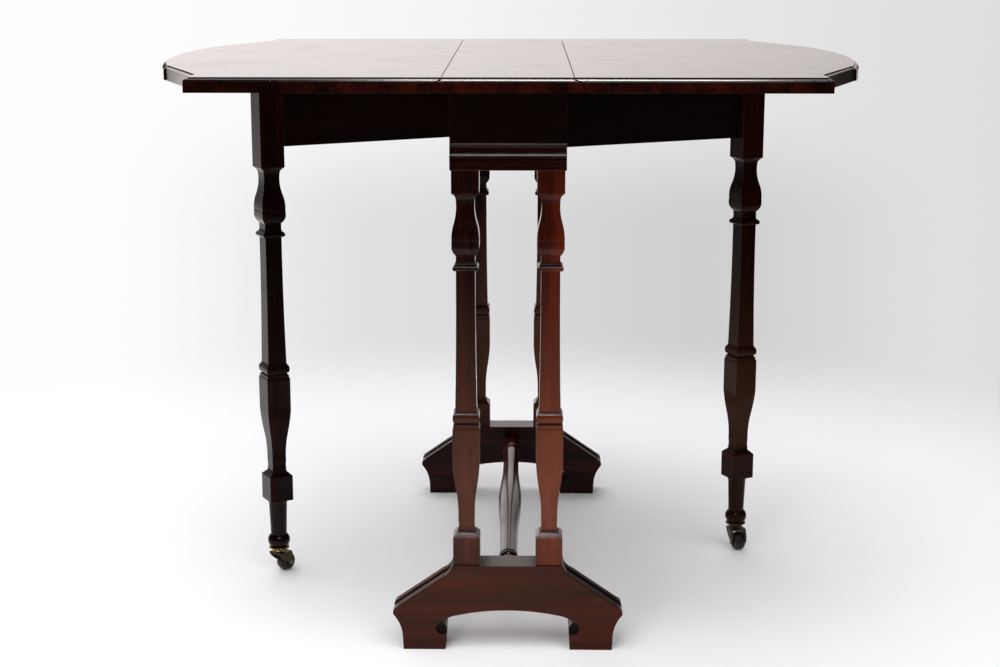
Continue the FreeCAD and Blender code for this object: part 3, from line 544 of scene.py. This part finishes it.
class TABLE_OT_dress_gates(DressOperator, Operator):
    """Polishes the fly rails and the swinging legs"""

    bl_idname = "table.dress_gates"
    bl_label = "Dress the Gates"

    def execute(self, context):
        for number, (side, depth, faded, gloss) in enumerate(GATE_LEGS):
            low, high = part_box(side + "_fly_rail")
            run = high - low
            # The fly rails, in the top's shadow, are made deeper as painted shade
            self.wood(context, side + "_fly_rail", (run.x, run.y, 0.0), (0.5 + number, 3.3, 0.8 * number),
                      depth=0.42, handled=0.4)
            self.wood(context, side + "_gate_leg", UPRIGHT, (2.6, 1.2 + number, 4.4),
                      depth=depth, faded=faded, gloss=gloss)
        return {"FINISHED"}


class TABLE_OT_dress_rails(DressOperator, Operator):
    """Gives the hidden rails and glue blocks their unpolished softwood"""

    bl_idname = "table.dress_rails"
    bl_label = "Dress the Inner Rails"

    def execute(self, context):
        for number, node in enumerate(("left_side_rail", "right_side_rail", "left_fixed_rail",
                                       "right_fixed_rail", "glue_blocks")):
            paint(node, softwood("deal_" + node, ALONG_TOP, (0.4 * number, 1.1 * number, 0.0)))
        return {"FINISHED"}


class TABLE_OT_dress_hinges(DressOperator, Operator):
    """Gives the back-flap hinges, their screws, the knuckle pins and the axles their iron"""

    bl_idname = "table.dress_hinges"
    bl_label = "Dress the Hinges"

    def execute(self, context):
        iron = old_iron("hinge_iron")
        for side in ("left", "right"):
            for name in ("top_hinge_flaps", "leaf_hinge_flaps", "hinge_pins", "top_hinge_screws",
                         "leaf_hinge_screws", "knuckle_pin", "caster_axle"):
                paint(side + "_" + name, iron)
        return {"FINISHED"}


class TABLE_OT_dress_casters(DressOperator, Operator):
    """Gives the casters their old brass and their leather wheels"""

    bl_idname = "table.dress_casters"
    bl_label = "Dress the Casters"

    def execute(self, context):
        fork = cast_brass("fork_brass", FORK_AGE)
        for side, age in COLLAR_AGES.items():
            paint(side + "_caster_collar", cast_brass(side + "_collar_brass", age))
            eased(side + "_caster_fork", fork, context.scene.table_sizes.metal_arris)
            paint(side + "_caster_wheel", pressed_leather(side + "_wheel_leather", self.axle(side)))
        return {"FINISHED"}

    def axle(self, side):
        """The direction of a wheel's axle, from the corners of its solid."""
        corners = [vertex.co for vertex in frame["nodes"][side + "_caster_axle"].data.vertices]
        middle = sum(corners, Vector()) / len(corners)
        arms = [corner - middle for corner in corners]
        reach = max(arms, key=lambda arm: arm.length)
        return sum((arm if arm.dot(reach) > 0 else -arm for arm in arms), Vector())


class TABLE_OT_set_stage(Operator):
    """Sets the pale floor, the soft studio light and the camera"""

    bl_idname = "table.set_stage"
    bl_label = "Set the Stage"

    def execute(self, context):
        stage = context.scene.table_stage
        floor = self.floor(context, stage)
        self.world(context, stage)
        self.lights(context, floor)
        self.camera(context, stage)
        return {"FINISHED"}

    def floor(self, context, stage):
        """A wide matt floor that fades into the room, later on the viewer's side."""
        work = bmesh.new()
        bmesh.ops.create_circle(work, cap_ends=True, segments=96, radius=FLOOR_REACH / FLOOR_NEAR)
        mesh = bpy.data.meshes.new("studio_floor")
        work.to_mesh(mesh)
        work.free()
        finish = Finish(bpy.data.materials.new("studio_floor"))
        place = finish.place()
        across, depth = (finish.part(place, axis) for axis in "XY")
        depth = finish.math("MAXIMUM", depth, depth * FLOOR_NEAR)
        far = finish.math("SQRT", depth * depth + across * across)
        mesh.materials.append(finish.surface(
            Base_Color=(*stage.floor, 1.0), Roughness=0.9, Specular_IOR_Level=0.1,
            Alpha=1.0 - far.between(FLOOR_FADE, FLOOR_REACH)))
        floor = bpy.data.objects.new("studio_floor", mesh)
        context.scene.collection.objects.link(floor)
        return floor

    def world(self, context, stage):
        """A dim room with a pale backdrop behind the table and at its left, and a wall for the camera with
        painted light at its left and a painted shadow of the table at its foot.
        """
        context.scene.world = bpy.data.worlds.new("studio")
        finish = Finish(context.scene.world)
        way = finish.node("ShaderNodeTexCoord", output="Generated")
        # The bounds are parts of a unit direction: to the right, away from the viewer and up
        across, depth, height = (finish.part(way, axis) for axis in "XYZ")
        aside = (1.0 - across.between(-0.6, -0.35)) * height.between(-0.2, -0.06)
        left = 1.0 - aside * 0.6 - across.between(-0.25, 0.5) * 0.55 - across.between(0.26, 0.42) * 0.45
        behind = depth.between(0.3, 0.75) * left
        room = finish.node("ShaderNodeBackground", None,
                           {"Color": (*stage.room, 1.0), "Strength": ROOM_GLOW + behind * BACKDROP_GLOW})
        # Painted light on the wall's left and a painted shadow of the table at its foot, seen only by the
        # camera
        bright = 1.0 - across.between(-0.25, 0.3)
        middle = 1.0 - finish.math("ABSOLUTE", across).between(0.08, 0.24)
        shade = middle * (1.0 - height.between(-0.16, -0.08))
        glow = WALL_GLOW + bright * WALL_LEFT_GLOW - shade * WALL_FOOT_SHADE
        wall = finish.node("ShaderNodeBackground", None, {"Color": (*stage.wall, 1.0), "Strength": glow})
        seen = finish.node("ShaderNodeLightPath", output="Is Camera Ray")
        both = finish.node("ShaderNodeMixShader", None, {0: seen, 1: room, 2: wall})
        finish.node("ShaderNodeOutputWorld", None, {"Surface": both})

    def lights(self, context, floor):
        """Soft lamps: overhead, over the floor, at the left, low in front, and two only for the polish."""
        self.lamp(context, "overhead", place=(-0.35, 0.95, 2.6), aim=(-0.1, 0.25, 0.0), size=(2.6, 1.7),
                  power=24.0, spread=140.0)
        wash = self.lamp(context, "floor_wash", place=(-0.15, -1.2, 2.6), aim=(0.05, -0.3, 0.0),
                         size=(5.0, 3.0), power=116.0, mirrored=False)
        wash.light_linking.receiver_collection = bpy.data.collections.new("floor_only")
        wash.light_linking.receiver_collection.objects.link(floor)
        self.lamp(context, "left_key", place=(-2.4, 0.6, 1.5), aim=(0.0, 0.1, 0.3), size=(1.2, 1.2),
                  power=4.0, spread=150.0, mirrored=False)
        fill = self.lamp(context, "low_fill", place=(-0.35, -1.25, 0.33), aim=(0.05, -0.33, 0.25),
                         size=(0.4, 0.25), power=1.25, spread=70.0, mirrored=False)
        fill.data.color = LOW_FILL_COLOUR
        self.lamp(context, "gleam", place=(0.12, -0.52, 2.5), aim=(0.12, -0.4, 0.0), size=(0.8, 0.75),
                  power=130.0, spreads=False)
        self.lamp(context, "front_gleam", place=(0.15, -2.2, 2.3), aim=(0.1, -0.4, 0.6), size=(1.0, 0.8),
                  power=28.0, spreads=False)

    def lamp(self, context, name, place, aim, size, power, spread=170.0, spreads=True, mirrored=True):
        """An area lamp that spreads light on matt surfaces, is mirrored in the polish, or both."""
        lamp = bpy.data.lights.new(name, "AREA")
        lamp.shape = "RECTANGLE"
        lamp.size, lamp.size_y = size
        lamp.energy, lamp.spread = power, math.radians(spread)
        item = bpy.data.objects.new(name, lamp)
        item.location = place
        item.rotation_euler = (Vector(aim) - Vector(place)).to_track_quat("-Z", "Y").to_euler()
        item.visible_camera, item.visible_diffuse, item.visible_glossy = False, spreads, mirrored
        context.scene.collection.objects.link(item)
        return item

    def camera(self, context, stage):
        """The camera at the photograph's place."""
        lens = bpy.data.cameras.new("camera")
        lens.sensor_fit, lens.sensor_width, lens.lens = "HORIZONTAL", SENSOR_WIDTH, stage.lens
        camera = bpy.data.objects.new("camera", lens)
        camera.location = stage.eye
        camera.rotation_euler = Vector(stage.gaze).to_track_quat("-Z", "Y").to_euler()
        context.scene.collection.objects.link(camera)
        context.scene.camera = camera
        context.scene.view_settings.view_transform = "Standard"


OPERATORS = (TABLE_OT_set_stage, TABLE_OT_dress_top, TABLE_OT_dress_trestles, TABLE_OT_dress_stretcher,
             TABLE_OT_dress_gates, TABLE_OT_dress_rails, TABLE_OT_dress_hinges, TABLE_OT_dress_casters)
GROUPS = {"table_finish": TableFinish, "table_sizes": TableSizes, "table_stage": TableStage}


class TABLE_PT_table(Panel):
    """Lists the steps that dress the table, and its sizes and colours"""

    bl_label = "Sutherland Table"
    bl_space_type = "VIEW_3D"
    bl_region_type = "UI"
    bl_category = "Table"

    def draw(self, context):
        for operator in OPERATORS:
            self.layout.operator(operator.bl_idname)
        for name, group in GROUPS.items():
            column = self.layout.column(align=True)
            for key in group.__annotations__:
                column.prop(getattr(context.scene, name), key)


def register():
    """Registers the groups, the operators and the panel, and gives the scene its groups."""
    for kind in (*GROUPS.values(), *OPERATORS, TABLE_PT_table):
        bpy.utils.register_class(kind)
    for name, group in GROUPS.items():
        setattr(bpy.types.Scene, name, PointerProperty(type=group))


def unregister():
    """Takes back what register did."""
    for name in GROUPS:
        delattr(bpy.types.Scene, name)
    for kind in (TABLE_PT_table, *reversed(OPERATORS), *reversed(GROUPS.values())):
        bpy.utils.unregister_class(kind)


def main():
    """Sets the stage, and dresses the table."""
    register()
    bpy.ops.table.set_stage()
    bpy.ops.table.dress_top()
    bpy.ops.table.dress_trestles()
    bpy.ops.table.dress_stretcher()
    bpy.ops.table.dress_gates()
    bpy.ops.table.dress_rails()
    bpy.ops.table.dress_hinges()
    bpy.ops.table.dress_casters()


if __name__ == "__main__":
    main()
